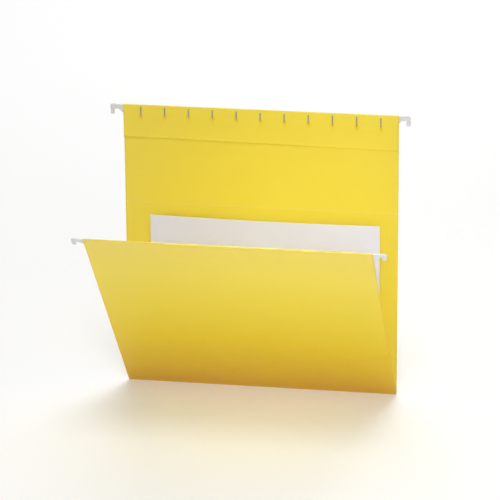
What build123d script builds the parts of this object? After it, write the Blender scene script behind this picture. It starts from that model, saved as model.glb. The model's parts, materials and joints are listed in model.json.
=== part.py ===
from build123d import *
import math
import os

# Hanging file folder, held open as a V. All sizes are in millimetres and degrees.
#
# One blank of card makes two leaves that meet at a rounded bottom fold. The top of each leaf is
# rolled inwards over a flat steel rod and glued down as a hem. The rod's notched ends stick out
# past the card as hooks, dipped in plastic, and sit on the two rails of a filing frame.
#
# +X runs along the rods, +Y points to the back, +Z is up. The origin is in the middle of the rear
# rod, at the height where its two hooks rest on their rail.
#
# Both leaves share one local frame, whose origin is on the fold axis: "across" is local X, "up"
# is local Y, from the fold to the top edge, and "out" is away from the other leaf.

# Card blank
BODY_WIDTH = 298.5
LEAF_HEIGHT = 318.0
CARD = 0.4
OPEN_ANGLE = 41.5

# Bottom fold, rounded about the fold axis
FOLD_RADIUS = 1.0
FOLD_SLIT = 0.2

# Steel rod, with a hook at each end. A shift is along the leaf's own "across" direction.
ROD_LENGTH = 324.3
ROD_HEIGHT = 10.1
ROD_THICKNESS = 1.0
ROD_FIT = 0.15
REAR_ROD_SHIFT = -0.8
FRONT_ROD_SHIFT = -0.5

# Hook: an arm that rests on the rail, a drop at its end and a slanting throat inside
ARM_HEIGHT = 4.2
DROP_WIDTH = 3.7
SEAT_WIDTH = 5.55
THROAT_SLANT = 5.9
DROP_CORNER = 1.1
NIB_WIDTH = 4.0
NIB_HEIGHT = 0.7
NIB_INSET = 1.3

# Plastic dip on each hook
COAT = 0.35
COAT_EDGE = 0.2
COAT_START = 0.25

# Hem, which is rolled round the rod and comes back to the leaf below it
HEM_DEPTH = 38.5
HEM_BELOW_ROD = 2.0
HEM_RETURN = 9.0
HEM_BEND = 3.0
GLUE = 0.2
GLUE_INSET = 2.0

# Slots for index tabs, in the hem only
SLOT_COUNT = 11
SLOT_PITCH = 26.0
SLOT_LENGTH = 9.5
SLOT_WIDTH = 1.7
SLOT_BELOW_TOP = 7.9

# Paper that stands in the folder
PAPER_WIDTH = 252.0
PAPER_HEIGHT = 191.0
PAPER = 0.4
PAPER_SHIFT = 4.1
PAPER_ABOVE_FOLD = 3.0

# Worked-out places, measured out from the fold axis and up the leaf
rod_out = FOLD_RADIUS - ROD_FIT - ROD_THICKNESS / 2
roll_radius = ROD_THICKNESS / 2 + ROD_FIT
roll_middle = roll_radius + CARD / 2
roll_up = LEAF_HEIGHT - roll_radius - CARD
rod_bottom = roll_up - ROD_HEIGHT
seat_up = roll_up - ARM_HEIGHT - COAT
glued_out = FOLD_RADIUS - GLUE - CARD / 2
return_start = rod_bottom - HEM_BELOW_ROD
return_end = return_start - HEM_RETURN
hem_end = LEAF_HEIGHT - HEM_DEPTH


def leaf_face(angle, across):
    """The plane of a leaf that leans forward by angle. Its normal points at the other leaf."""
    tilt = math.radians(angle)
    inward = (0, across * -math.cos(tilt), across * -math.sin(tilt))
    fold_axis = (0, -rod_out, -seat_up)
    return Plane(origin=fold_axis, x_dir=(across, 0, 0), z_dir=inward)


def section(face, half_length):
    """The plane across a leaf, at its local left-hand end: local X is out, local Y is up."""
    end = face.origin - face.x_dir * half_length
    return Plane(origin=end, x_dir=-face.z_dir, z_dir=face.x_dir)


def save(part, label):
    part.label = label
    export_step(part, f"parts/{label}.step")


def make_panel(face):
    """The flat of a leaf, from just above the fold to the rolled top edge."""
    with BuildPart() as panel:
        with BuildSketch(face.offset(-FOLD_RADIUS - CARD)):
            with Locations((0, FOLD_SLIT)):
                Rectangle(BODY_WIDTH, roll_up - FOLD_SLIT, align=(Align.CENTER, Align.MIN))
        extrude(amount=CARD)
    return panel.part


def make_hem(face):
    """Card rolled over the rod and back down to the leaf, with a row of tab slots."""
    with BuildPart() as hem:
        with BuildSketch(section(face, BODY_WIDTH / 2)):
            with BuildLine():
                CenterArc((rod_out, roll_up), roll_middle, 0, 180)
                FilletPolyline(
                    (rod_out - roll_middle, roll_up),
                    (rod_out - roll_middle, return_start),
                    (glued_out, return_end),
                    (glued_out, hem_end),
                    radius=HEM_BEND,
                )
            trace(line_width=CARD)
        extrude(amount=BODY_WIDTH)
        with BuildSketch(face.offset(-rod_out + ROD_THICKNESS / 2)):
            with Locations((0, LEAF_HEIGHT - SLOT_BELOW_TOP)):
                with GridLocations(SLOT_PITCH, 0, SLOT_COUNT, 1):
                    SlotOverall(SLOT_LENGTH, SLOT_WIDTH, rotation=90)
        extrude(amount=roll_middle + CARD, mode=Mode.SUBTRACT)
    return hem.part


def make_glue(face):
    """The film of adhesive that holds the lower edge of the hem to the leaf."""
    with BuildPart() as glue:
        with BuildSketch(face.offset(-FOLD_RADIUS)):
            with Locations((0, hem_end + GLUE_INSET)):
                Rectangle(
                    BODY_WIDTH - 2 * GLUE_INSET,
                    return_end - HEM_BEND - hem_end - 2 * GLUE_INSET,
                    align=(Align.CENTER, Align.MIN),
                )
        extrude(amount=GLUE)
    return glue.part


def rod_outline():
    """Flat strip whose ends are notched from below, which leaves an arm and a drop."""
    half = ROD_LENGTH / 2
    seat_outer = half - DROP_WIDTH
    seat_inner = seat_outer - SEAT_WIDTH
    seat = roll_up - ARM_HEIGHT
    with BuildSketch() as outline:
        with Locations((0, rod_bottom)):
            Rectangle(ROD_LENGTH, ROD_HEIGHT, align=(Align.CENTER, Align.MIN))
        for side in (-1, 1):
            with BuildLine():
                Polyline(
                    (side * seat_outer, rod_bottom),
                    (side * seat_outer, seat),
                    (side * seat_inner, seat),
                    (side * (seat_inner - THROAT_SLANT), rod_bottom),
                    close=True,
                )
            make_face(mode=Mode.SUBTRACT)
        drop_corners = outline.vertices().group_by(Axis.Y)[0].filter_by(
            lambda corner: abs(corner.X) > seat_outer - DROP_CORNER
        )
        fillet(drop_corners, DROP_CORNER)
        for side in (-1, 1):
            with Locations((side * (half - NIB_INSET - NIB_WIDTH / 2), roll_up)):
                Trapezoid(NIB_WIDTH, 2 * NIB_HEIGHT, 75)
    return outline.sketch


def make_rod(face, shift, outline):
    """Steel hanger rod, which sits in the hem with a little play along its length."""
    with BuildPart() as rod:
        with BuildSketch(face.offset(-rod_out)):
            with Locations((shift, 0)):
                add(outline)
        extrude(amount=ROD_THICKNESS / 2, both=True)
    return rod.part


def make_coat(face, shift, outline, side, rod):
    """Plastic dip on one end of a rod, from the edge of the card to the tip."""
    start = BODY_WIDTH / 2 + COAT_START
    reach = ROD_LENGTH / 2 + abs(shift) + 2 * COAT - start
    with BuildPart() as coat:
        with BuildSketch(face.offset(-rod_out)):
            with Locations((shift, 0)):
                add(outline)
            offset(amount=COAT, kind=Kind.ARC)
            with Locations((side * (start + reach / 2), roll_up)):
                Rectangle(reach, 4 * ROD_HEIGHT, mode=Mode.INTERSECT)
        extrude(amount=ROD_THICKNESS / 2 + COAT, both=True)
        long_faces = coat.faces().filter_by(Axis(face.origin, face.z_dir))
        chamfer(long_faces.edges(), COAT_EDGE)
        add(rod, mode=Mode.SUBTRACT)
    return coat.part


def make_paper(face):
    """Sheets that stand in the folder, just in front of the rear leaf."""
    with BuildPart() as paper:
        with BuildSketch(face.offset(-PAPER / 2)):
            with Locations((PAPER_SHIFT, PAPER_ABOVE_FOLD)):
                Rectangle(PAPER_WIDTH, PAPER_HEIGHT, align=(Align.CENTER, Align.MIN))
        extrude(amount=PAPER)
    return paper.part


os.makedirs("parts", exist_ok=True)

rear_face = leaf_face(0, 1)
front_face = leaf_face(OPEN_ANGLE, -1)
strip = rod_outline()

for name, face, shift in (
    ("rear", rear_face, REAR_ROD_SHIFT),
    ("front", front_face, FRONT_ROD_SHIFT),
):
    left = -1 if face is rear_face else 1
    rod = make_rod(face, shift, strip)
    save(make_panel(face), f"{name}_panel")
    save(make_hem(face), f"{name}_hem")
    save(make_glue(face), f"{name}_hem_glue")
    save(rod, f"{name}_hanger_rod")
    save(make_coat(face, shift, strip, left, rod), f"{name}_left_hook_coat")
    save(make_coat(face, shift, strip, -left, rod), f"{name}_right_hook_coat")

save(make_paper(rear_face), "document_sheets")
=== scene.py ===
import json
import math

import bmesh
import bpy
from mathutils import Matrix, Vector, noise


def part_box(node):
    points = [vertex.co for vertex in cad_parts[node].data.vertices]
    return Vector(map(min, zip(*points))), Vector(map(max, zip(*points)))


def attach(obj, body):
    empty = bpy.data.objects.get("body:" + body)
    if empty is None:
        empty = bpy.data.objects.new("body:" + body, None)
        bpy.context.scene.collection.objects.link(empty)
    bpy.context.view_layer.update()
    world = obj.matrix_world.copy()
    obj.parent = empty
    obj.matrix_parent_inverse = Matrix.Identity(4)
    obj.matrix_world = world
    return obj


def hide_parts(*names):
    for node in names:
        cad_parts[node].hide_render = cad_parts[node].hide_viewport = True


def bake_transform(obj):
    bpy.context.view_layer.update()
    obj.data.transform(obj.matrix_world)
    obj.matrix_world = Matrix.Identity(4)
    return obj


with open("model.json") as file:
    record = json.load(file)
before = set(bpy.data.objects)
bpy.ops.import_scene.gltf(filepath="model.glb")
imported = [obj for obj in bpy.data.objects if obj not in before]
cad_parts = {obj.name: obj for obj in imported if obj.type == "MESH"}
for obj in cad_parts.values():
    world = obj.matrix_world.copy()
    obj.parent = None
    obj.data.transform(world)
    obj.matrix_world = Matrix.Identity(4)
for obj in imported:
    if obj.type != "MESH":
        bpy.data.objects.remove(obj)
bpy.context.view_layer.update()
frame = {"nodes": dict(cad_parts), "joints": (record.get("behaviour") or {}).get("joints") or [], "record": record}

# Looks of the hanging file folder. Everything is in metres, in the frame of the imported model.
# A leaf has a local frame on the fold axis: x across, u up the leaf, v out from the other leaf.
# The card is one blank. A place on it is x across and s along it, from the middle of the fold,
# minus on the rear leaf. A tone above 0 is paler card and a tone below 0 is deeper.
# Most of the tone is painted highlight and painted shade; each place that sets it says which.
MM = 0.001
record = frame["record"]
mounts = {m["name"]: m for m in record["mounts"]}
fold = next(j for j in frame["joints"] if j["name"] == "bottom_fold")

# ---------------------------------------------------------------- sizes, read from the frame
panel_low, panel_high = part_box("rear_panel")
hem_low, hem_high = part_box("rear_hem")
rod_low, rod_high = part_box("rear_hanger_rod")
paper_low, paper_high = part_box("document_sheets")
FOLD_AXIS = Vector(fold["pos_m"])
CARD = panel_high.y - panel_low.y
HALF_WIDTH = (panel_high.x - panel_low.x) / 2
CARD_V = (panel_low.y + panel_high.y) / 2 - FOLD_AXIS.y
LEAF_TOP = hem_high.z - FOLD_AXIS.z
ROLL_UP = panel_high.z - FOLD_AXIS.z
ROD_V = (rod_low.y + rod_high.y) / 2 - FOLD_AXIS.y
ROD_BOTTOM = rod_low.z - FOLD_AXIS.z
ROLL_RADIUS = CARD_V - ROD_V
HEM_END = hem_low.z - FOLD_AXIS.z
seat_axis = mounts["front_left_hook_seat"]["axis"]
OPEN_ANGLE = math.atan2(seat_axis[1], -seat_axis[2])

# ---------------------------------------------------------------- the hem
GLUE = 0.2 * MM
HEM_RETURN = 15.5 * MM
FLAP_LEAN = 0.13 * MM
RETURN_EASE = 0.7
SKEW_RAMP = 2.3 * MM
REAR_HEM_SKEW = math.radians(0.63)
FRONT_HEM_SKEW = math.radians(-0.25)
# Painted light on the rolled top edges: a faint paler crest on the rear roll, partly wear and partly painted
# highlight, and painted shade that dulls the top of the front roll.
REAR_ROLL_HIGHLIGHT = 0.03
FRONT_ROLL_SHADE = -0.28
EDGE_LIFT = 0.30 * MM
EDGE_LIFT_SHARE = 0.1
# Painted shadow along the hem's free edge.
HEM_EDGE_SHADE = 0.85
HEM_EDGE_LINE = 0.35 * MM

# ---------------------------------------------------------------- tab slots, and marks beside them
# The slots are shortest near the place SLOT_SHORTEST, and longer towards both ends of the row.
SLOT_COUNT = 11
SLOT_PITCH = 26.0 * MM
SLOT_MIDDLES = [(i - (SLOT_COUNT - 1) / 2) * SLOT_PITCH for i in range(SLOT_COUNT)]
SLOT_HALF_LENGTH = 4.75 * MM
SLOT_HALF_WIDTH = 0.85 * MM
SLOT_BELOW_TOP = 7.9 * MM
SLOT_SHORTEST = 8 * MM
SLOT_TRIM = 0.4 * MM
SLOT_GROWTH = 2.3 * MM
SLOT_LIFT = 1.3 * MM
SLOT_LIFT_RATE = 1.8
SLOT_MARGIN = 1.75 * MM
SLOT_CELL = 2.6 * MM
SLOT_CELL_COLUMNS = 4
DIMPLE_DEPTH = 0.22 * MM
DIMPLE_WIDTH = 1.0 * MM
DIMPLE_LENGTH = 8.5 * MM
DIMPLE_START = 1.5
# Painted shade in the dimple and the wedge below each slot.
DIMPLE_SHADE_TONE = 0.8
DIMPLE_SHADE = 3.2 * MM
WEDGE_SHADE_TONE = 0.3
# A faint deeper spot below each slot, on the front leaf's outer side.
SLOT_SPOT_TONE = 0.08
SLOT_SPOT_BELOW_TOP = 24.5 * MM
SLOT_SPOT_SIZE = 2.2 * MM
# Painted shadow in the cavity seen through the lower end of each slot.
CAVITY_SHADE_TONE = 2.2
CAVITY_SHADE_BELOW_TOP = 13.0 * MM
CAVITY_SHADE_LENGTH = 1.3 * MM

# ---------------------------------------------------------------- the leaves
CREASE_BELOW_TOP = 111.0 * MM
CREASE_DEPTH = 0.10 * MM
CREASE_WIDTH = 0.5 * MM
# Painted highlight along the rear leaf's crease.
CREASE_HIGHLIGHT = 0.22
CREASE_LINE = 0.45 * MM
EDGE_TONE = 0.45
EDGE_LINE = 0.6 * MM
# Painted shade along the line where the front leaf meets the fold.
FOLD_SHADE = 0.9
FOLD_LINE = 1.2 * MM
REAR_BOW = 1.1 * MM
FRONT_BOW = -0.3 * MM
BOW_MIDDLE = 0.75
BOW_VARIATION = 0.35
BOW_WAVES_ACROSS = 1.3
BOW_WAVES_UP = 1.5
# Least place on the painted shade ramp for the rear leaf, which keeps the rear leaf pale.
REAR_LEAST_SHADE_HEIGHT = 0.80

# ---------------------------------------------------------------- rows and columns of the card's grid
LEAF_ROWS = 52
ROLL_ROWS = 14
FOLD_ROWS = 12
HEM_ROWS = 8
DIMPLE_REACH = 10 * MM
END_COLUMNS = 6
BELL_ROWS = (-2, -1, 0, 1, 2)
CREASE_ROWS = (-1.6 * MM, -0.9 * MM, -0.45 * MM, 0, 0.45 * MM, 0.9 * MM, 1.6 * MM)
BETWEEN_SLOTS = (-13.0 * MM, -9.5 * MM, -6.0 * MM, 6.0 * MM, 9.5 * MM, 13.0 * MM)
SAME_COLUMN = 0.01 * MM
SLOPE_STEP = 0.02 * MM


class Leaf:
    """The local frame of one leaf of the folder."""

    def __init__(self, name, out, up, hem_skew, bow, roll_painted_light):
        self.name = name
        self.out = Vector(out)
        self.up = Vector(up)
        self.hem_skew = hem_skew
        self.bow = bow
        self.roll_painted_light = roll_painted_light

    def at(self, x, u, v):
        return FOLD_AXIS + Vector((x, 0, 0)) + self.up * u + self.out * v


sin_open = math.sin(OPEN_ANGLE)
cos_open = math.cos(OPEN_ANGLE)
FRONT_OUT = (0, -cos_open, -sin_open)
FRONT_UP = (0, -sin_open, cos_open)
REAR = Leaf("rear", (0, 1, 0), (0, 0, 1), REAR_HEM_SKEW, REAR_BOW, REAR_ROLL_HIGHLIGHT)
FRONT = Leaf("front", FRONT_OUT, FRONT_UP, FRONT_HEM_SKEW, FRONT_BOW, FRONT_ROLL_SHADE)


def smooth(t):
    """From 0 to 1 with no corner at either end, and level past both."""
    t = min(1.0, max(0.0, t))
    return t * t * (3 - 2 * t)


def bell(distance, width):
    """1 in the middle, falling away on both sides."""
    return math.exp(-0.5 * (distance / width) ** 2)


# ---------------------------------------------------------------- materials
class Nodes:
    """Small helper that builds one node material."""

    def __init__(self, name):
        self.material = bpy.data.materials.new(name)
        self.material.use_nodes = True
        self.tree = self.material.node_tree
        self.tree.nodes.clear()
        self.shader = self.new("ShaderNodeBsdfPrincipled")
        output = self.new("ShaderNodeOutputMaterial")
        self.tree.links.new(self.shader.outputs[0], output.inputs[0])

    def new(self, kind, **settings):
        node = self.tree.nodes.new(kind)
        for key, value in settings.items():
            setattr(node, key, value)
        return node

    def link(self, source, target):
        self.tree.links.new(source, target)

    def place(self, attribute=None, stretch=(1, 1, 1)):
        """Texture position: a stored attribute, or the mesh's own coordinates, stretched."""
        if attribute:
            source = self.new("ShaderNodeAttribute", attribute_name=attribute).outputs["Vector"]
        else:
            source = self.new("ShaderNodeTexCoord").outputs["Object"]
        mapping = self.new("ShaderNodeMapping")
        mapping.inputs["Scale"].default_value = stretch
        self.link(source, mapping.inputs["Vector"])
        return mapping.outputs[0]

    def noise(self, place, scale, detail=4.0, roughness=0.55):
        node = self.new("ShaderNodeTexNoise")
        node.inputs["Scale"].default_value = scale
        node.inputs["Detail"].default_value = detail
        node.inputs["Roughness"].default_value = roughness
        self.link(place, node.inputs["Vector"])
        return node.outputs["Fac"]

    def span(self, value, low, high, start=0.0, end=1.0):
        """Maps value from [start, end] to [low, high]."""
        node = self.new("ShaderNodeMapRange")
        for name, number in (("From Min", start), ("From Max", end), ("To Min", low), ("To Max", high)):
            node.inputs[name].default_value = number
        self.link(value, node.inputs["Value"])
        return node.outputs[0]

    def math(self, operation, a, b):
        node = self.new("ShaderNodeMath", operation=operation)
        for socket, value in zip(node.inputs, (a, b)):
            if isinstance(value, (int, float)):
                socket.default_value = value
            else:
                self.link(value, socket)
        return node.outputs[0]

    def mix(self, factor, a, b):
        """Mixes two colours, each a tuple or a node output."""
        node = self.new("ShaderNodeMix", data_type="RGBA")
        self.link(factor, node.inputs["Factor"])
        for socket, value in ((node.inputs[6], a), (node.inputs[7], b)):
            if isinstance(value, tuple):
                socket.default_value = (*value, 1.0)
            else:
                self.link(value, socket)
        return node.outputs[2]

    def ramp(self, value, stops):
        """Colours along a value from 0 to 1, each stop a place and a colour."""
        node = self.new("ShaderNodeValToRGB")
        elements = node.color_ramp.elements
        while len(elements) < len(stops):
            elements.new(0.5)
        for element, (place, colour) in zip(elements, stops):
            element.position = place
            element.color = (*colour, 1.0)
        self.link(value, node.inputs["Fac"])
        return node.outputs["Color"]

    def bump(self, height, distance, strength=1.0):
        node = self.new("ShaderNodeBump")
        node.inputs["Strength"].default_value = strength
        node.inputs["Distance"].default_value = distance
        self.link(height, node.inputs["Height"])
        self.link(node.outputs[0], self.shader.inputs["Normal"])

    def set(self, **values):
        for name, value in values.items():
            socket = self.shader.inputs[name.replace("_", " ")]
            if isinstance(value, bpy.types.NodeSocket):
                self.link(value, socket)
            else:
                socket.default_value = value


def card_material():
    """Dyed card with fine fibres and faint mottling; its colour carries painted shade, deeper towards the fold,
    and a tone of painted highlights and painted shades.
    """
    n = Nodes("card_yellow")
    blank = n.place("blank")
    fibres = n.noise(n.place("blank", (1, 0.35, 1)), 2600, 5, 0.7)
    mottle = n.noise(blank, 38, 3, 0.5)
    grain = n.noise(blank, 900, 4, 0.6)
    height = n.new("ShaderNodeAttribute", attribute_name="height").outputs["Fac"]
    # Painted shade: the card's colour is darker and more orange towards the fold, and paler towards the top of the
    # leaf.
    base = n.ramp(height, (
        (0.0, (0.690, 0.385, 0.005)),
        (0.12, (0.765, 0.490, 0.002)),
        (0.35, (0.850, 0.622, 0.001)),
        (0.6, (0.882, 0.692, 0.038)),
        (0.8, (0.893, 0.722, 0.072)),
        (1.0, (0.884, 0.704, 0.110)),
    ))
    base = n.mix(n.span(mottle, 0, 0.10, 0.3, 0.7), base, (0.90, 0.69, 0.05))
    base = n.mix(n.span(fibres, 0, 0.12, 0.45, 0.75), base, (0.92, 0.76, 0.14))
    base = n.mix(n.span(grain, 0, 0.10, 0.55, 0.8), base, (0.74, 0.50, 0.018))
    # The tone paints light and shade: above 0 mostly painted highlight, from 0 to -1 mostly painted shade.
    tone = n.new("ShaderNodeAttribute", attribute_name="tone").outputs["Fac"]
    base = n.mix(n.span(tone, 0, 1), base, (0.90, 0.80, 0.34))
    base = n.mix(n.span(tone, 0, 1, 0.0, -1.0), base, (0.77, 0.49, 0.012))
    # Tones below -1 paint the dark shadow in the cavity behind each slot.
    base = n.mix(n.span(tone, 0, 1, -1.0, -2.0), base, (0.16, 0.09, 0.07))
    n.set(
        Base_Color=base,
        Roughness=n.span(grain, 0.30, 0.42, 0.3, 0.7),
        Specular_IOR_Level=0.36,
    )
    n.bump(n.math("ADD", fibres, n.math("MULTIPLY", mottle, 2.0)), 0.05 * MM, 0.6)
    return n.material


def card_edge_material():
    """The cut edge of the card, where the paler and rougher core shows."""
    n = Nodes("card_cut_edge")
    fibres = n.noise(n.place("blank"), 3200, 5, 0.7)
    n.set(
        Base_Color=n.mix(fibres, (0.74, 0.55, 0.08), (0.90, 0.78, 0.30)),
        Roughness=n.span(fibres, 0.75, 0.9),
    )
    n.bump(fibres, 0.08 * MM)
    return n.material


def paper_material():
    """Plain white office paper with a soft tooth."""
    n = Nodes("white_paper")
    place = n.place()
    tooth = n.noise(place, 2400, 5, 0.65)
    cloud = n.noise(place, 30, 3, 0.5)
    base = n.mix(n.span(cloud, 0, 1, 0.3, 0.7), (0.775, 0.80, 0.93), (0.795, 0.82, 0.95))
    base = n.mix(n.span(tooth, 0, 0.2, 0.5, 0.8), base, (0.75, 0.77, 0.85))
    n.set(Base_Color=base, Roughness=n.span(tooth, 0.75, 0.9), Specular_IOR_Level=0.3)
    n.bump(tooth, 0.03 * MM, 0.5)
    return n.material


def steel_material():
    """Cold-rolled steel strip, with fine lines along its length."""
    n = Nodes("rolled_steel")
    lines = n.noise(n.place(None, (0.02, 1, 1)), 3000, 4, 0.6)
    stain = n.noise(n.place(), 60, 4, 0.6)
    base = n.mix(n.span(stain, 0, 1, 0.3, 0.7), (0.33, 0.32, 0.335), (0.46, 0.45, 0.46))
    n.set(Base_Color=base, Metallic=1.0, Roughness=n.span(lines, 0.30, 0.48))
    n.bump(lines, 0.02 * MM, 0.6)
    return n.material


def dip_material():
    """Light grey vinyl dip: smooth, a little uneven, with a soft shine."""
    n = Nodes("hook_dip")
    place = n.place()
    ripple = n.noise(place, 420, 3, 0.5)
    speck = n.noise(place, 2600, 3, 0.5)
    base = n.mix(n.span(ripple, 0, 1, 0.3, 0.7), (0.70, 0.70, 0.715), (0.76, 0.76, 0.775))
    base = n.mix(n.span(speck, 0, 0.25, 0.6, 0.8), base, (0.63, 0.63, 0.64))
    n.set(Base_Color=base, Roughness=n.span(ripple, 0.30, 0.42), Specular_IOR_Level=0.5)
    n.bump(ripple, 0.08 * MM, 0.5)
    return n.material


def glue_material():
    """Dried adhesive: translucent amber film."""
    n = Nodes("dried_glue")
    cloud = n.noise(n.place(), 300, 4, 0.6)
    n.set(
        Base_Color=n.mix(cloud, (0.62, 0.50, 0.18), (0.74, 0.64, 0.34)),
        Roughness=n.span(cloud, 0.35, 0.6),
    )
    n.bump(cloud, 0.05 * MM, 0.5)
    return n.material


def floor_material():
    """Pale matt floor, with a faint glow of its own that softens the shadow."""
    n = Nodes("floor")
    cloud = n.noise(n.place(), 3, 2, 0.5)
    n.set(
        Base_Color=n.mix(cloud, (0.83, 0.83, 0.83), (0.85, 0.85, 0.85)),
        Roughness=0.9,
        Specular_IOR_Level=0.1,
        Emission_Color=(1, 1, 1, 1),
        Emission_Strength=0.18,
    )
    return n.material


CARD_FACE = card_material()
CARD_EDGE = card_edge_material()
PAPER = paper_material()
STEEL = steel_material()
DIP = dip_material()
ADHESIVE = glue_material()
FLOOR = floor_material()


def smooth_by_angle(piece, degrees):
    """Smooth shading, with edges sharper than the angle left crisp."""
    mesh = piece.data
    mesh.polygons.foreach_set("use_smooth", [True] * len(mesh.polygons))
    mesh.set_sharp_from_angle(angle=math.radians(degrees))


def object_from(name, vertices, faces, materials, slots=None, sharp_angle=40):
    """A mesh object, smooth but for its sharp edges. The slots are each face's material."""
    mesh = bpy.data.meshes.new(name)
    mesh.from_pydata(vertices, [], faces)
    for material in materials:
        mesh.materials.append(material)
    if slots is not None:
        mesh.polygons.foreach_set("material_index", slots)
    mesh.update()
    piece = bpy.data.objects.new(name, mesh)
    bpy.context.scene.collection.objects.link(piece)
    smooth_by_angle(piece, sharp_angle)
    return piece


# ---------------------------------------------------------------- the card blank
CARD_SHARP = 60
FLAP_V = ROD_V - ROLL_RADIUS
GLUED_V = CARD_V - CARD - GLUE
RETURN_END = ROD_BOTTOM - HEM_RETURN
FLAP_LENGTH = ROLL_UP - HEM_END
ROLL_LENGTH = math.pi * ROLL_RADIUS
FOLD_TURN = math.pi - OPEN_ANGLE
HALF_FOLD = CARD_V * FOLD_TURN / 2


def leaf_bow(leaf, x, u):
    """How far the slack card stands out between the straight rod and the straight fold."""
    rise = math.sin(math.pi * min(1.0, max(0.0, u / ROLL_UP)))
    side = x / HALF_WIDTH
    pattern = len(leaf.name)  # one number for each leaf, so that their waves differ
    wave = noise.noise(Vector((side * BOW_WAVES_ACROSS + pattern, u / LEAF_TOP * BOW_WAVES_UP, 0.5)))
    return leaf.bow * rise * (BOW_MIDDLE + BOW_VARIATION * (wave - side * side))


def flap_v(u):
    """The hem's free part: close along the rod, then slanting back to the leaf it is glued to."""
    if u >= ROD_BOTTOM:
        return FLAP_V + FLAP_LEAN * (ROLL_UP - u) / (ROLL_UP - ROD_BOTTOM)
    run = (ROD_BOTTOM - u) / (ROD_BOTTOM - RETURN_END)
    eased = run - math.sin(math.tau * min(1.0, run)) / math.tau * RETURN_EASE
    return FLAP_V + FLAP_LEAN + (GLUED_V - FLAP_V - FLAP_LEAN) * min(1.0, eased)


def slot_ends(x):
    """How far the slot at x runs past its usual length, at its upper and at its lower end."""
    off = (x - SLOT_SHORTEST) / HALF_WIDTH
    return SLOT_LIFT * smooth(SLOT_LIFT_RATE * off), SLOT_GROWTH * off ** 2 - SLOT_TRIM


def nearest_slot(x):
    """Middle of the slot nearest to x, or None past the ends of the row."""
    middle = round(x / SLOT_PITCH) * SLOT_PITCH
    return middle if abs(middle) < SLOT_PITCH * SLOT_COUNT / 2 else None


def leaf_point(leaf, x, s):
    """The card's middle surface on one leaf, s up the leaf from the fold axis. Gives point and tone."""
    u, v, tone = s, CARD_V, 0.0
    if s <= ROLL_UP:
        if leaf is REAR:
            crease = s - (LEAF_TOP - CREASE_BELOW_TOP)
            # Painted highlight along the crease.
            tone += CREASE_HIGHLIGHT * bell(crease, CREASE_LINE)
            v -= CREASE_DEPTH * bell(crease, CREASE_WIDTH)
    elif s <= ROLL_UP + ROLL_LENGTH:
        turn = (s - ROLL_UP) / ROLL_RADIUS
        u = ROLL_UP + ROLL_RADIUS * math.sin(turn)
        v = ROD_V + ROLL_RADIUS * math.cos(turn)
        # Painted light on the roll's crest: a highlight on the rear roll, shade on the front roll.
        tone += leaf.roll_painted_light * math.sin(turn) ** 2
    else:
        depth = s - ROLL_UP - ROLL_LENGTH
        share = depth / FLAP_LENGTH
        drop = depth + smooth(depth / SKEW_RAMP) * x * math.tan(leaf.hem_skew)
        x -= drop * math.tan(leaf.hem_skew)
        u = ROLL_UP - drop
        v = flap_v(ROLL_UP - depth) - EDGE_LIFT * smooth((share - 1) / EDGE_LIFT_SHARE + 1)
        # Painted shadow along the hem's free edge.
        tone -= HEM_EDGE_SHADE * bell(FLAP_LENGTH - depth, HEM_EDGE_LINE)
        nearest = nearest_slot(x)
        if nearest is not None:
            slot_end = LEAF_TOP - SLOT_BELOW_TOP - SLOT_HALF_LENGTH - slot_ends(nearest)[1]
            below = slot_end - (ROLL_UP - depth)
            dent = smooth(below / MM + DIMPLE_START) * bell(x - nearest, DIMPLE_WIDTH)
            wedge = dent * smooth(1 - below / DIMPLE_LENGTH)
            v += DIMPLE_DEPTH * wedge
            # Painted shade in the dimple and the wedge below the slot.
            tone -= DIMPLE_SHADE_TONE * dent * smooth(1 - below / DIMPLE_SHADE) + WEDGE_SHADE_TONE * wedge
    return leaf.at(x, u, v + leaf_bow(leaf, x, u)), tone


def slot_cavity_shade(x, s):
    """Painted shadow on the leaf's inner side, in the cavity seen through the lower end of each slot."""
    nearest = nearest_slot(x)
    if nearest is None:
        return 0.0
    above = abs(s) - HALF_FOLD - (LEAF_TOP - CAVITY_SHADE_BELOW_TOP)
    return CAVITY_SHADE_TONE * bell(x - nearest, SLOT_HALF_WIDTH) * bell(above, CAVITY_SHADE_LENGTH)


def slot_spot(x, s):
    """Faint deeper spot on the front leaf's outer side, below each slot."""
    nearest = nearest_slot(x)
    if nearest is None:
        return 0.0
    above = s - HALF_FOLD - (LEAF_TOP - SLOT_SPOT_BELOW_TOP)
    return SLOT_SPOT_TONE * bell(x - nearest, SLOT_SPOT_SIZE) * bell(above, SLOT_SPOT_SIZE)


def blank_point(x, s):
    """The card's middle surface at any place on the blank. Gives point and tone."""
    run = abs(s) - HALF_FOLD
    leaf = REAR if s < 0 else FRONT
    if run >= 0:
        return leaf_point(leaf, x, run)
    turn = (s + HALF_FOLD) / CARD_V
    out = Vector((0, math.cos(turn), -math.sin(turn)))
    return FOLD_AXIS + Vector((x, 0, 0)) + out * CARD_V, 0.0


def spread(start, end, count):
    """Even steps from start to end, both included."""
    return [start + (end - start) * i / count for i in range(count + 1)]


def slot_rows():
    """Runs of the grid rows across the slots, from the roll towards the free edge."""
    middle = ROLL_UP + ROLL_LENGTH + ROLL_UP - (LEAF_TOP - SLOT_BELOW_TOP)
    straight = SLOT_HALF_LENGTH - SLOT_HALF_WIDTH
    reach = SLOT_HALF_LENGTH + SLOT_MARGIN
    return [middle + part for part in (-reach, *spread(-straight, straight, 4), reach)]


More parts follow.
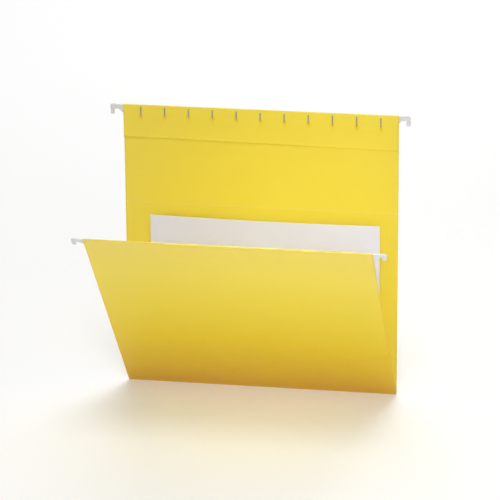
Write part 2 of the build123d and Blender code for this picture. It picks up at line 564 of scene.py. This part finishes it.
def leaf_rows(leaf):
    """Rows of the grid over one leaf, as runs from the fold axis to the hem's free edge."""
    rows = spread(0, ROLL_UP, LEAF_ROWS)[1:]
    if leaf is REAR:
        rows += [LEAF_TOP - CREASE_BELOW_TOP + part for part in CREASE_ROWS]
    rows += [LEAF_TOP - CAVITY_SHADE_BELOW_TOP + part * CAVITY_SHADE_LENGTH for part in BELL_ROWS]
    if leaf is FRONT:
        rows += [LEAF_TOP - SLOT_SPOT_BELOW_TOP + part * SLOT_SPOT_SIZE for part in BELL_ROWS]
    rows += spread(ROLL_UP, ROLL_UP + ROLL_LENGTH, ROLL_ROWS)[1:]
    rows += slot_rows()
    after_slots = slot_rows()[-1]
    flap_end = ROLL_UP + ROLL_LENGTH + FLAP_LENGTH
    rows += spread(after_slots, after_slots + DIMPLE_REACH, HEM_ROWS)[1:]
    rows += spread(after_slots + DIMPLE_REACH, flap_end, HEM_ROWS)[1:]
    rows += [flap_end - 2 * HEM_EDGE_LINE, flap_end - HEM_EDGE_LINE]
    return sorted(rows)


def grid_columns():
    """Columns over the width, set out so that each slot has five of its own."""
    columns = set(spread(-HALF_WIDTH, -SLOT_PITCH * SLOT_COUNT / 2, END_COLUMNS))
    columns |= set(spread(SLOT_PITCH * SLOT_COUNT / 2, HALF_WIDTH, END_COLUMNS))
    for middle in SLOT_MIDDLES:
        near = spread(-SLOT_CELL, SLOT_CELL, SLOT_CELL_COLUMNS)
        columns |= {middle + part for part in (*near, *BETWEEN_SLOTS)}
    kept = []
    for x in sorted(columns):
        if not kept or x - kept[-1] > SAME_COLUMN:
            kept.append(x)
    return kept


CAP_ANGLES = (150, 120, 90, 60, 30)


def slot_outline(x, rows):
    """Points of one slot, in the order of its cell's border."""
    lift, drop = slot_ends(x)
    nearer_roll = min(rows, key=abs)
    length = max(rows, key=abs) - nearer_roll
    away = math.copysign(1, length)
    order = []
    for s in rows:
        share = (s - nearer_roll) / length
        order.append(s + away * (drop * share - lift * (1 - share)))
    first, last = order[1], order[-2]
    beyond = -1 if last > first else 1
    cap = []
    for angle in CAP_ANGLES:
        turn = math.radians(angle)
        cap.append((math.cos(turn) * SLOT_HALF_WIDTH, math.sin(turn) * SLOT_HALF_WIDTH))
    points = [(x + a, first + beyond * b) for a, b in cap]
    points += [(x + SLOT_HALF_WIDTH, s) for s in order[1:-1]]
    points += [(x - a, last - beyond * b) for a, b in cap]
    points += [(x - SLOT_HALF_WIDTH, s) for s in order[-2:0:-1]]
    return points


def card_blank():
    """One sheet of card from the rear hem's free edge, round the fold, to the front hem's.

    It is a grid of rows and columns. Round each slot a cell of the grid is left out, and a ring of
    faces joins the cell's border to the slot's outline.
    """
    rear_rows = [-(s + HALF_FOLD) for s in leaf_rows(REAR)][::-1]
    front_rows = [s + HALF_FOLD for s in leaf_rows(FRONT)]
    rows = rear_rows + spread(-HALF_FOLD, HALF_FOLD, FOLD_ROWS) + front_rows
    columns = grid_columns()
    flat = [(x, s) for s in rows for x in columns]
    width = len(columns)
    faces = []
    skipped = set()
    for sign in (-1, 1):
        cell_rows = sorted(sign * (s + HALF_FOLD) for s in slot_rows())
        low = min(range(len(rows)), key=lambda i: abs(rows[i] - cell_rows[0]))
        high = min(range(len(rows)), key=lambda i: abs(rows[i] - cell_rows[-1]))
        inside = rows[low:high + 1]
        for x in SLOT_MIDDLES:
            left = min(range(width), key=lambda c: abs(columns[c] - (x - SLOT_CELL)))
            right = left + SLOT_CELL_COLUMNS
            skipped |= {(r, c) for r in range(low, high) for c in range(left, right)}
            border = [low * width + c for c in range(left, right + 1)]
            border += [r * width + right for r in range(low + 1, high)]
            border += [high * width + c for c in range(right, left - 1, -1)]
            border += [r * width + left for r in range(high - 1, low, -1)]
            start = len(flat)
            flat += slot_outline(x, inside)
            ring = [start + k for k in range(len(border))]
            for k in range(len(border)):
                after = (k + 1) % len(border)
                faces.append((border[k], border[after], ring[after], ring[k]))
    for r in range(len(rows) - 1):
        for c in range(width - 1):
            if (r, c) not in skipped:
                a = r * width + c
                faces.append((a, a + 1, a + 1 + width, a + width))
    return thicken(flat, faces)


def store(piece, name, kind, field, values):
    """Writes one value for each point, which the card's material reads."""
    piece.data.attributes.new(name, kind, "POINT").data.foreach_set(field, values)


def thicken(flat, faces):
    """Gives the flat blank its place in space and its thickness."""
    count = len(flat)
    near, far, inner_tones, tones = [], [], [], []
    for x, s in flat:
        point, tone = blank_point(x, s)
        along = blank_point(x, s + SLOPE_STEP)[0] - blank_point(x, s - SLOPE_STEP)[0]
        across = blank_point(x + SLOPE_STEP, s)[0] - blank_point(x - SLOPE_STEP, s)[0]
        normal = across.cross(along).normalized() * (CARD / 2)
        near.append(point - normal)
        far.append(point + normal)
        tone -= EDGE_TONE * bell(HALF_WIDTH - abs(x), EDGE_LINE)
        # Painted shade along the front leaf's side of the fold.
        tone -= FOLD_SHADE * bell(s - HALF_FOLD, FOLD_LINE)
        inner_tones.append(tone - slot_cavity_shade(x, s))
        tones.append(tone - slot_spot(x, s))
    edges = dict.fromkeys((a, b) for face in faces for a, b in zip(face, face[1:] + face[:1]))
    walls = [(a, b, b + count, a + count) for a, b in edges if (b, a) not in edges]
    solid = [tuple(reversed(f)) for f in faces]
    solid += [tuple(v + count for v in f) for f in faces]
    slots = [0] * len(solid) + [1] * len(walls)
    materials = (CARD_FACE, CARD_EDGE)
    piece = object_from("folder_card", near + far, solid + walls, materials, slots, CARD_SHARP)
    both = flat + flat
    sides = [0.0] * count + [CARD] * count
    places = [c for (x, s), d in zip(both, sides) for c in (x, s, d)]
    # Place on the painted shade ramp; the rear leaf stays near its pale top.
    painted_shade_heights = [min(1.0, max(s / ROLL_UP, REAR_LEAST_SHADE_HEIGHT if s < 0 else 0.0)) for x, s in both]
    store(piece, "blank", "FLOAT_VECTOR", "vector", places)
    store(piece, "tone", "FLOAT", "value", inner_tones + tones)
    store(piece, "height", "FLOAT", "value", painted_shade_heights)
    return piece


card = card_blank()
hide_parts("rear_panel", "rear_hem", "front_panel", "front_hem")
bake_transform(card)

# ---------------------------------------------------------------- papers
PAPER_THICKNESS = 0.11 * MM
PAPER_BOW = 3.4 * MM
PAPER_LEAN_LEFT = 0.8 * MM
PAPER_LEAN_RIGHT = 3.2 * MM
PAPER_CURVE = 1.6
PAPER_SIDE_ROOM = 0.4 * MM
PAPER_TOP_ROOM = 0.6 * MM
PAPER_SHIFTS = (0.0, 0.35 * MM, -0.3 * MM)
PAPER_LIFTS = (0.4 * MM, 0.1 * MM, 0.25 * MM)
PAPER_COLUMNS = 28
PAPER_ROWS = 24


def paper_offset(side, rise):
    """How far the papers stand forward of the rear leaf, at a place from -1 to 1 and 0 to 1."""
    lean = PAPER_LEAN_LEFT + (PAPER_LEAN_RIGHT - PAPER_LEAN_LEFT) * (side + 1) / 2
    return (lean + PAPER_BOW * (1 - side * side)) * rise ** PAPER_CURVE


def papers():
    """A few loose sheets, each a thin curved slab, not quite square to each other."""
    middle = (paper_low + paper_high) / 2
    half = (paper_high.x - paper_low.x) / 2 - PAPER_SIDE_ROOM
    height = paper_high.z - paper_low.z - PAPER_TOP_ROOM
    pitch = (paper_high.y - paper_low.y - PAPER_THICKNESS) / (len(PAPER_SHIFTS) - 1)
    columns, rows = PAPER_COLUMNS, PAPER_ROWS
    vertices, faces = [], []
    for sheet, (shift, lift) in enumerate(zip(PAPER_SHIFTS, PAPER_LIFTS)):
        base_y = paper_low.y + pitch * sheet
        start = len(vertices)
        for back in (0, 1):
            for r in range(rows + 1):
                for c in range(columns + 1):
                    side, rise = 2 * c / columns - 1, r / rows
                    y = base_y + back * PAPER_THICKNESS - paper_offset(side, rise)
                    z = paper_low.z + lift + height * rise
                    vertices.append((middle.x + shift + half * side, y, z))
        width = columns + 1
        layer = width * (rows + 1)
        front = [
            (start + r * width + c, start + r * width + c + 1,
             start + (r + 1) * width + c + 1, start + (r + 1) * width + c)
            for r in range(rows) for c in range(columns)
        ]
        border = [start + c for c in range(columns)]
        border += [start + r * width + columns for r in range(rows)]
        border += [start + rows * width + c for c in range(columns, 0, -1)]
        border += [start + r * width for r in range(rows, 0, -1)]
        faces += front
        faces += [tuple(v + layer for v in reversed(f)) for f in front]
        faces += [(b, a, a + layer, b + layer) for a, b in zip(border, border[1:] + border[:1])]
    return object_from("loose_papers", vertices, faces, (PAPER,))


sheets = papers()
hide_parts("document_sheets")
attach(sheets, "papers")

# ---------------------------------------------------------------- hook dips
DROP_WIDTH = 4.4 * MM
SEAT_WIDTH = 4.85 * MM
NIB_BASE = 4.1 * MM
NIB_TOP = 2.8 * MM
NIB_HEIGHT = 0.7 * MM
NIB_INSET = 1.5 * MM
DIP_EDGE = 0.42 * MM
DIP_START = 0.12 * MM
DIP_SHARP = 35
# How far each corner of the hook's outline is rounded, in millimetres and in the outline's order
HOOK_CORNERS = (0, 0.5, 0.6, 0.6, 0.3, 0.7, 1.5, 1.5, 0.5, 0.8, 0)


def rounded(points, radii, steps=4):
    """The corners of an outline, each rounded with its own radius."""
    result = []
    count = len(points)
    for i, radius in enumerate(radii):
        corner = Vector(points[i])
        before = (Vector(points[i - 1]) - corner).normalized()
        after = (Vector(points[(i + 1) % count]) - corner).normalized()
        if radius == 0:
            result.append(tuple(corner))
            continue
        half = before.angle(after) / 2
        reach = radius / math.tan(half)
        centre = corner + (before + after).normalized() * radius / math.sin(half)
        start = corner + before * reach - centre
        end = corner + after * reach - centre
        turn = start.angle_signed(end)
        for k in range(steps + 1):
            result.append(tuple(centre + Matrix.Rotation(-turn * k / steps, 2) @ start))
    return result


def hook_outline(start, tip, bottom, arm_top, seat):
    """The hook seen square on, outwards from the card's edge: arm, nib, drop, seat and throat."""
    drop_inner = tip - DROP_WIDTH
    throat = drop_inner - SEAT_WIDTH
    nib_outer = tip - NIB_INSET
    nib_inner = nib_outer - NIB_BASE
    nib_slant = (NIB_BASE - NIB_TOP) / 2
    nib_top = arm_top + NIB_HEIGHT
    points = [
        (start, arm_top),
        (nib_inner, arm_top),
        (nib_inner + nib_slant, nib_top),
        (nib_outer - nib_slant, nib_top),
        (nib_outer, arm_top),
        (tip, arm_top),
        (tip, bottom),
        (drop_inner, bottom),
        (drop_inner, seat),
        (throat, seat),
        (start, seat - (throat - start)),
    ]
    return rounded(points, [corner * MM for corner in HOOK_CORNERS])


def from_lowest(face):
    """A face's points in the same order, starting with the lowest number."""
    first = face.index(min(face))
    return face[first:] + face[:first]


def hook_dip(leaf, side, node):
    """One dipped hook end, with soft edges all round and a small lip at the card."""
    low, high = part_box(node)
    rear_low, rear_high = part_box("rear_left_hook_coat")
    tip = max(abs(low.x), abs(high.x))
    thickness = rear_high.y - rear_low.y
    arm_top = rear_high.z - FOLD_AXIS.z - NIB_HEIGHT
    bottom = rear_low.z - FOLD_AXIS.z
    seat = mounts["rear_left_hook_seat"]["pos_m"][2] - FOLD_AXIS.z
    outline = hook_outline(HALF_WIDTH + DIP_START, tip, bottom, arm_top, seat)
    mesh = bmesh.new()
    inner = [mesh.verts.new(leaf.at(side * x, u, ROD_V - thickness / 2)) for x, u in outline]
    made = bmesh.ops.extrude_face_region(mesh, geom=[mesh.faces.new(inner)])
    moved = [v for v in made["geom"] if isinstance(v, bmesh.types.BMVert)]
    bmesh.ops.translate(mesh, verts=moved, vec=leaf.out * thickness)
    bmesh.ops.recalc_face_normals(mesh, faces=mesh.faces)
    rims = [e for e in mesh.edges if any(len(f.verts) > 4 for f in e.link_faces)]
    bmesh.ops.bevel(
        mesh, geom=rims, offset=DIP_EDGE, offset_type="OFFSET", segments=4, profile=0.5,
        affect="EDGES", clamp_overlap=True,
    )
    bmesh.ops.triangulate(mesh, faces=[f for f in mesh.faces if len(f.verts) > 4])
    mesh.verts.index_update()
    vertices = [tuple(v.co) for v in mesh.verts]
    faces = [[v.index for v in f.verts] for f in mesh.faces]
    mesh.free()
    # Blender's order of new triangles varies from run to run, so the triangles are sorted.
    quads = [f for f in faces if len(f) > 3]
    faces = quads + sorted(from_lowest(f) for f in faces if len(f) == 3)
    piece = object_from(node.replace("coat", "dip"), vertices, faces, (DIP,), None, DIP_SHARP)
    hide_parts(node)
    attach(piece, f"{leaf.name}_leaf")


for leaf in (REAR, FRONT):
    for side, word in ((-1, "left"), (1, "right")):
        hook_dip(leaf, side, f"{leaf.name}_{word}_hook_coat")

# ---------------------------------------------------------------- CAD pieces that stay
for leaf in (REAR, FRONT):
    for node, material in ((f"{leaf.name}_hanger_rod", STEEL), (f"{leaf.name}_hem_glue", ADHESIVE)):
        kept = frame["nodes"][node]
        kept.data.materials.clear()
        kept.data.materials.append(material)

# ---------------------------------------------------------------- floor
FLOOR_GAP = 0.3 * MM
FLOOR_SIZE = 14.0
FLOOR_TILES = 24


def make_floor():
    """A wide square just under the fold."""
    level = FOLD_AXIS.z - CARD_V - CARD / 2 - FLOOR_GAP
    marks = spread(-FLOOR_SIZE / 2, FLOOR_SIZE / 2, FLOOR_TILES)
    vertices = [(x, y, level) for y in marks for x in marks]
    width = len(marks)
    corners = [row * width + column for row in range(FLOOR_TILES) for column in range(FLOOR_TILES)]
    faces = [(a, a + 1, a + width + 1, a + width) for a in corners]
    floor = object_from("floor", vertices, faces, (FLOOR,))


make_floor()

# ---------------------------------------------------------------- camera
VIEW_AZIMUTH = math.radians(9.758)
VIEW_ELEVATION = math.radians(19.856)
VIEW_ROLL = math.radians(0.430)
VIEW_DISTANCE = 3.3348
VIEW_LENS = 225.35
VIEW_SENSOR = 36.0
VIEW_FAR = 60.0
VIEW_TARGET = Vector((-0.001943, -0.060, -0.132406))


def aim(thing, position, target, roll=0.0):
    """Puts a camera or light at a position, looks at the target and rolls about that line."""
    turn = (target - position).normalized().to_track_quat("-Z", "Y").to_matrix().to_4x4()
    thing.matrix_world = Matrix.Translation(position) @ turn @ Matrix.Rotation(roll, 4, "Z")


def make_camera():
    camera = bpy.data.objects.new("camera", bpy.data.cameras.new("camera"))
    camera.data.lens = VIEW_LENS
    camera.data.sensor_width = VIEW_SENSOR
    camera.data.clip_end = VIEW_FAR
    bpy.context.scene.collection.objects.link(camera)
    back = Vector((
        math.sin(VIEW_AZIMUTH) * math.cos(VIEW_ELEVATION),
        -math.cos(VIEW_AZIMUTH) * math.cos(VIEW_ELEVATION),
        math.sin(VIEW_ELEVATION),
    ))
    aim(camera, VIEW_TARGET + back * VIEW_DISTANCE, VIEW_TARGET, -VIEW_ROLL)
    bpy.context.scene.camera = camera


make_camera()


# ---------------------------------------------------------------- lights
WORLD_STRENGTH = 0.3
BOUNCES = 10
DIFFUSE_BOUNCES = 8


def area_light(name, position, target, size, power, spread=180):
    """A rectangular light. A spread under 180 degrees makes it a beam."""
    data = bpy.data.lights.new(name, "AREA")
    data.shape = "RECTANGLE"
    data.size, data.size_y = size
    data.energy = power
    data.spread = math.radians(spread)
    light = bpy.data.objects.new(name, data)
    light.visible_camera = False
    bpy.context.scene.collection.objects.link(light)
    aim(light, Vector(position), Vector(target))


def make_world():
    world = bpy.data.worlds.new("studio")
    world.use_nodes = True
    background = world.node_tree.nodes["Background"]
    background.inputs["Color"].default_value = (1, 1, 1, 1)
    background.inputs["Strength"].default_value = WORLD_STRENGTH
    bpy.context.scene.world = world


make_world()
area_light("ceiling", (0.2, 0.3, 3.2), (0.2, 0.3, -0.3), (9.0, 9.0), 37)
area_light("top", (0.2, -0.92, 1.95), (0, -0.1, -0.25), (0.7, 0.7), 15)
area_light("back", (0.0, 2.0, 1.6), (-0.05, 0, -0.15), (2.4, 1.6), 33)
area_light("key", (0.22, -0.74, 0.26), (0.08, -0.1, -0.08), (0.35, 0.35), 1.4)
area_light("beam", (0.3, -1.5, 0.7), (0.05, -0.05, -0.12), (0.2, 0.2), 0.068, spread=14)

scene = bpy.context.scene
scene.view_settings.view_transform = "Standard"
scene.view_settings.look = "None"
scene.cycles.use_denoising = True
scene.cycles.max_bounces = BOUNCES
scene.cycles.diffuse_bounces = DIFFUSE_BOUNCES
